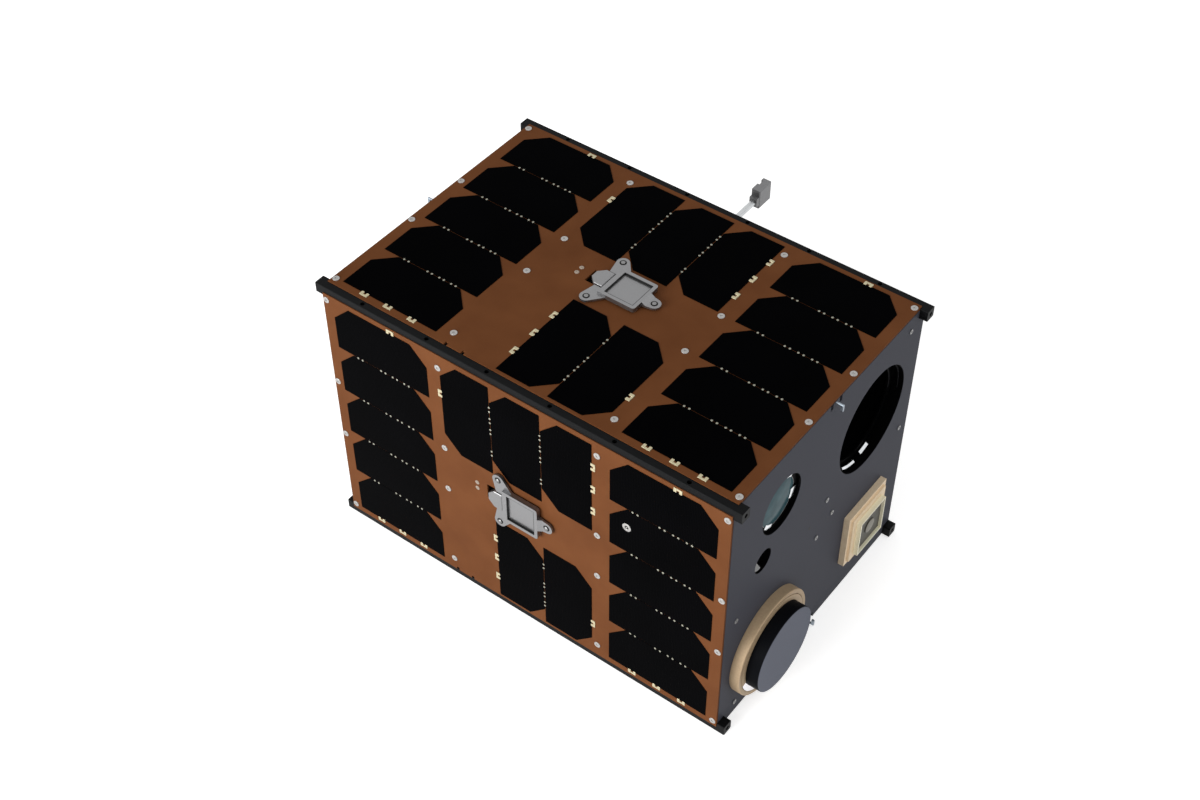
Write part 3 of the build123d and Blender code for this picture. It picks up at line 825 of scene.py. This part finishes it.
# %% Blackened bores
sleeve_wall = 0.25
bores = (                        # tube, radius of its bore, depths at which the sleeve starts and ends
    ("telescope_tube", 40.45, 0.15, 8.8),
    ("camera_tube", 21.8, 0.15, 3.7),
    ("sight_tube", 9.3, 0.15, 7.5),
)
highlight_rims = (                    # radius, depth and width of a painted rim highlight
    (40.2, 3.8, 0.9),
    (36.2, 8.6, 1.1),
)
highlight_thick = 0.3
highlight_start = -5.0                # degrees, on the far side of the bore
highlight_end = 95.0


def bore_section(outer, start_depth, inner, inner_depth, thick):
    """A four-cornered section in a bore, from its wall to a smaller radius, in millimetres."""
    return in_mm(((outer, -start_depth), (inner, -inner_depth), (inner, -(inner_depth + thick)),
                  (outer, -(start_depth + thick))))


blackened = []
for tube, radius, start_depth, end_depth in bores:
    lining = in_mm(((radius, -start_depth), (radius - sleeve_wall, -start_depth),
                    (radius - sleeve_wall, -end_depth), (radius, -end_depth)))
    blackened.append(placed(swept(lining), at_middle_of(tube)))
add_piece("blackened_bores", gathered(blackened), "tube_black")

telescope_place = at_middle_of("telescope_tube")
# painted highlight: a lighter dark grey on the far side of two rims, where their edges would catch light
grained("rim_highlight_grey", (0.0072, 0.0072, 0.0079), (0.0143, 0.0143, 0.0157), 2.0 * mm, 0.5, specular=0.1)
rim_highlights = []
for radius, depth, wide in highlight_rims:
    section = bore_section(radius, depth, radius - wide, depth, highlight_thick)
    rim_highlights.append(placed(swept(section, highlight_start, highlight_end), telescope_place))
add_piece("rim_highlights", gathered(rim_highlights), "tube_black", finish["rim_highlight_grey"])

# %% [markdown]
# ## Polished clips
# A few short clips with polished slopes hold the optics. Each mirrors the bright surroundings as a small
# white patch in a dark opening. They are arcs of one sloping band, so a table of radii, depths and angles
# is all that they need.

# %% Polished clips
clip_thick = 0.4
clip_steps = 18
telescope_arcs = (               # outer radius and depth, inner radius and depth, start and end in degrees
    (40.0, 5.9, 38.4, 7.6, -86.0, -72.0),
    (40.0, 5.2, 38.9, 6.5, -125.0, -99.0),
)
sight_arc = (8.9, 1.8, 6.2, 4.6, -165.0, -85.0)
lens_arcs = (
    (19.4, 2.6, 16.2, 2.8, -140.0, -110.0),
    (20.4, 2.15, 13.8, 2.3, -30.0, 0.0),
    (21.2, 1.2, 18.4, 1.8, 54.0, 72.0),
)


def clip_arc(outer, depth, inner, inner_depth, start, end):
    """A thin sloping band inside a bore, from its wall at one depth to a smaller radius further in."""
    return swept(bore_section(outer, depth, inner, inner_depth, clip_thick), start, end, steps=clip_steps)


grained("polished_clip", (0.68, 0.70, 0.72), (0.78, 0.80, 0.82), 1.0 * mm, 0.12, metallic=1.0,
        depth=0.001 * mm)
telescope_clips = gathered([clip_arc(*arc) for arc in telescope_arcs])
add_piece("telescope_clips", placed(telescope_clips, telescope_place), "pin_steel", finish["polished_clip"])
add_piece("sight_clip", placed(clip_arc(*sight_arc), at_middle_of("sight_tube")), "pin_steel",
          finish["screw_dim"])

# %% [markdown]
# ## Camera lens
# The camera's front lens is a low dome in a bevelled black ring, with a thin grey rim between them. The
# dome is turned from six points. More would not show, because the glass is coated and doesn't let the eye
# in.

# %% Camera lens
dome_profile = ((17.8, -3.79), (17.8, -3.4), (15.0, -3.0), (10.5, -2.65), (5.2, -2.45), (0.0, -2.4))
black_ring_section = ((21.5, -3.79), (21.5, -2.9), (20.2, -2.9), (18.4, -3.5), (18.4, -3.79))
grey_rim_section = ((18.35, -3.79), (18.35, -3.3), (17.85, -3.3), (17.85, -3.79))
lens_place = at_middle_of("camera_tube")
add_piece("camera_lens", placed(turned(in_mm(dome_profile), steps=64), lens_place), "lens_glass")
add_piece("camera_lens_ring", placed(swept(in_mm(black_ring_section)), lens_place), "tube_black")
add_piece("camera_lens_rim", placed(swept(in_mm(grey_rim_section)), lens_place), "boom_grey")
lens_clips = gathered([clip_arc(*arc) for arc in lens_arcs])
add_piece("camera_lens_clips", placed(lens_clips, lens_place), "pin_steel", finish["polished_clip"])

# %% [markdown]
# ## Antenna trims
# The round antenna's puck stands on a flange that covers the ring's groove. Most of it is gold like the
# ring. One arc, low on the front side, is bare and polished, so it mirrors the bright floor. On the square
# antenna the feed cap in the patch is a shade lighter than the ceramic. Angles run from the boom's side of
# the plate over the top.

# %% Antenna trims
ring_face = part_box("round_antenna_base")[1].x - payload_face_x
round_place = at_middle_of("round_antenna_base")
flange_outer = 36.7 * mm
flange_bevelled = 36.5 * mm      # outer radius at the flange's face
flange_inner = 32.6 * mm
flange_sunk = 1.9 * mm
flange_bevel = 0.1 * mm
flange_section = ((flange_outer, ring_face - flange_sunk), (flange_outer, ring_face - flange_bevel),
                  (flange_bevelled, ring_face), (flange_inner, ring_face),
                  (flange_inner, ring_face - flange_sunk))
bare_start = 198.0
bare_end = 250.0
flange = swept(flange_section, bare_end, bare_start + 360.0, steps=84)
bare_arc = swept(flange_section, bare_start, bare_end, steps=16)
grained("flange_bright", (0.74, 0.72, 0.75), (0.80, 0.78, 0.81), 1.0 * mm, 0.10, metallic=1.0, depth=0.0,
        roughness_swing=0.02)
add_piece("puck_flange", placed(flange, round_place), "antenna_gold")
add_piece("bare_arc", placed(bare_arc, round_place), "pin_steel", finish["flange_bright"])
feed_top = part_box("square_antenna_patch")[1].x - payload_face_x
feed_radius = 5.6 * mm
feed_bevelled = 5.2 * mm
feed_edge = 0.15 * mm
feed_high = 0.25 * mm
feed_cap = turned(((feed_radius, feed_top), (feed_radius, feed_top + feed_edge),
                   (feed_bevelled, feed_top + feed_high), (0.0, feed_top + feed_high)), steps=48)
grained("feed_ceramic", (0.25, 0.24, 0.20), (0.34, 0.32, 0.28), 1.0 * mm, 0.45, specular=0.1)
add_piece("feed_cap", placed(feed_cap, at_middle_of("square_antenna_patch")), "patch_ceramic",
          finish["feed_ceramic"])

# %% [markdown]
# ## Boom spring
# A torsion spring swings the boom out once it is released. Its coil sits on the hinge pin below the lug.
# One leg leaves the coil along its tangent, passes beside the lug and bends on to the bracket's foot, which
# is what it pushes against. Its centre line is worked out from the pin and the foot, so that it still
# meets both when the hinge is moved.

# %% Route of the boom spring
pin_low, pin_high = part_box("boom_pin")
bracket_low, bracket_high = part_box("boom_bracket")
pin_axis = Vector(((pin_low.x + pin_high.x) / 2, (pin_low.y + pin_high.y) / 2, 0))
foot_top = 3.0 * mm              # bracket's base above the panel
foot_face_y = bracket_low.y + foot_top
wire = 0.45 * mm                 # radius of the spring's wire
coil_pitch = 2.1                 # drop of one turn, in wire radii
coil_radius = 2.3 * mm
coil_turns = 4
coil_steps = 72
leg_aside = 6.0 * mm             # of the leg from the pin, which clears the lug
leg_rest = 9.0 * mm              # length that lies along the foot
leg_bend = 1.2 * mm
bend_angles = (0, 22.5, 45, 67.5, 90)


def torsion_spring():
    """The coil's centre line: turns down the pin's end, then a leg that bends on to the bracket's foot."""
    foot_spot = Vector((pin_axis.x - leg_aside, foot_face_y + wire, 0))
    away = foot_spot - pin_axis
    # the coil ends where its tangent points at the foot
    end = 2 * math.pi * coil_turns + math.atan2(away.y, away.x) - math.acos(coil_radius / away.length)
    route = []
    for step in range(coil_steps + 1):
        angle = end * step / coil_steps
        drop = coil_pitch * wire * angle / (2 * math.pi)
        route.append(Vector((pin_axis.x + coil_radius * math.cos(angle),
                             pin_axis.y + coil_radius * math.sin(angle), pin_low.z - wire - drop)))
    corner = Vector((foot_spot.x, foot_spot.y, route[-1].z))
    onward = (corner - route[-1]).normalized()
    upward = Vector((0, 0, 1))
    for angle in bend_angles:
        turn = math.radians(angle)
        route.append(corner - leg_bend * (1 - math.sin(turn)) * onward
                     + leg_bend * (1 - math.cos(turn)) * upward)
    route.append(corner + leg_rest * upward)
    return route


route = torsion_spring()
print("pin axis", round((pin_axis.y - foot_face_y) / mm, 2), "mm off the bracket's foot")

# %% [markdown]
# ## Wire of the boom spring
# The spring is round wire along a free route, which no turned or flat shape can give. It could be a mesh
# swept along the route. A curve with a bevel depth does the same in one setting, and the wire's radius
# stays a single number.

# %% Wire of the boom spring
spring_curve = bpy.data.curves.new("boom_spring", "CURVE")
spring_curve.dimensions = "3D"
spring_curve.bevel_depth = wire
spring_curve.bevel_resolution = 3
spline = spring_curve.splines.new("POLY")
spline.points.add(len(route) - 1)
for point, place in zip(spline.points, route):
    point.co = (*place, 1.0)
spring_curve.materials.append(finish["pin_steel"])
spring = new_object("boom_spring", spring_curve)
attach(spring, "satellite")
print("boom_spring", len(route), "points")

# %% [markdown]
# ## Pin ends and bracket screws
# The pin runs on below the lug as a spool for the coil, with a collar that keeps the coil on. Above, a
# retaining clip holds it. Both are turned. Four screws hold the bracket to the board.

# %% Pin ends and bracket screws
spool = turned(in_mm(((1.5, 0.0), (1.5, -4.6), (2.6, -4.6), (2.6, -5.2), (0.0, -5.2))), steps=24)
clip = turned(in_mm(((2.4, 0.0), (2.4, 0.6), (1.4, 0.6), (1.2, 0.9), (0.0, 0.9))), steps=24)
bracket_screw_along = 9.3 * mm   # of the bracket's screws from its middle, along the rails and up
bracket_screw_up = 5.4 * mm
pin_ends = [placed(spool, moved(pin_axis.x, pin_axis.y, pin_low.z)),
            placed(clip, moved(pin_axis.x, pin_axis.y, pin_high.z))]
add_piece("pin_ends", gathered(pin_ends), "pin_steel")

to_back = side_frames["back"]
bracket_screw = screw(1.9 * mm, 0.9 * mm)
bracket_x = (bracket_low.x + bracket_high.x) / 2
bracket_heads = [placed(bracket_screw, to_back @ moved(bracket_x + x, up, foot_top))
                 for x in (-bracket_screw_along, bracket_screw_along)
                 for up in (-bracket_screw_up, bracket_screw_up)]
add_piece("bracket_screws", gathered(bracket_heads), "pin_steel")

# %% [markdown]
# ## World
# The world lights the satellite evenly at a plain level. It also has to look white, which would need more
# light than the satellite can take. So two backgrounds are mixed by the kind of ray: white for what the
# camera, a mirror or a lens sees, and the plain level for the light itself.

# %% World
world_level = 0.52
white = (1.0, 1.0, 1.0, 1.0)


def for_seen_rays(nodes, links):
    """1 for camera, glossy and transmission rays, 0 for the rest."""
    path = nodes.new("ShaderNodeLightPath")
    kinds = ("Is Camera Ray", "Is Glossy Ray", "Is Transmission Ray")
    return combined(nodes, links, [path.outputs[kind] for kind in kinds], "MAXIMUM")


world = bpy.data.worlds.new("studio")
bpy.context.scene.world = world
world.use_nodes = True
nodes, links = world.node_tree.nodes, world.node_tree.links
lighting = preset(nodes["Background"], {"Color": white, "Strength": world_level})
seen = preset(nodes.new("ShaderNodeBackground"), {"Color": white})
choice = nodes.new("ShaderNodeMixShader")
links.new(for_seen_rays(nodes, links), choice.inputs["Fac"])
links.new(lighting.outputs["Background"], choice.inputs[1])
links.new(seen.outputs["Background"], choice.inputs[2])
links.new(choice.outputs["Shader"], nodes["World Output"].inputs["Surface"])
print("world level", world_level)

# %% [markdown]
# ## Floor
# The floor is matt and white. A little glow is added to it for the same kinds of ray, so that it meets the
# white background without a line and still keeps the satellite's shadow.

# %% Floor
floor_size = 14.0
floor_grey = 0.85
white_glow = 0.60

floor_mesh = bpy.data.meshes.new("floor")
half_floor = floor_size / 2
floor_mesh.from_pydata([(-half_floor, -half_floor, 0), (half_floor, -half_floor, 0),
                        (half_floor, half_floor, 0), (-half_floor, half_floor, 0)], [], [(0, 1, 2, 3)])
floor = new_object("floor", floor_mesh)
floor_paint = bpy.data.materials.new("floor_white")
floor_paint.use_nodes = True
nodes, links = floor_paint.node_tree.nodes, floor_paint.node_tree.links
nodes.remove(nodes["Principled BSDF"])
matt = preset(nodes.new("ShaderNodeBsdfDiffuse"), {"Color": (floor_grey, floor_grey, floor_grey, 1)})
glow = preset(nodes.new("ShaderNodeEmission"), {"Strength": white_glow})
both = nodes.new("ShaderNodeAddShader")
pick = nodes.new("ShaderNodeMixShader")
links.new(matt.outputs["BSDF"], both.inputs[0])
links.new(glow.outputs["Emission"], both.inputs[1])
links.new(for_seen_rays(nodes, links), pick.inputs["Fac"])
links.new(matt.outputs["BSDF"], pick.inputs[1])
links.new(both.outputs["Shader"], pick.inputs[2])
links.new(pick.outputs["Shader"], nodes["Material Output"].inputs["Surface"])
floor_mesh.materials.append(floor_paint)
print("floor", floor_size, "m")

# %% [markdown]
# ## Lamps
# A big lamp low on the front side makes that side brighter than the top, and a weak one above the payload
# end keeps the antennas from going flat. Both are large squares, so their shadows are soft.

# %% Lamps
key_place = (-0.6, -2.4, 0.9)
key_power = 73.0
fill_place = (1.8, 0.4, 2.2)
fill_power = 7.0
lamp_size = 1.6


def add_lamp(name, place, size, power):
    """A square area lamp that looks at the satellite's middle."""
    lamp = bpy.data.lights.new(name, "AREA")
    lamp.size = size
    lamp.energy = power
    holder = new_object(name, lamp)
    holder.location = place
    aim = Vector((0, 0, middle_z)) - Vector(place)
    holder.rotation_euler = aim.to_track_quat("-Z", "Y").to_euler()
    return holder


key = add_lamp("key_lamp", key_place, lamp_size, key_power)
fill = add_lamp("fill_lamp", fill_place, lamp_size, fill_power)
bpy.context.scene.view_settings.view_transform = "Standard"
print("lamps:", key.name, fill.name)
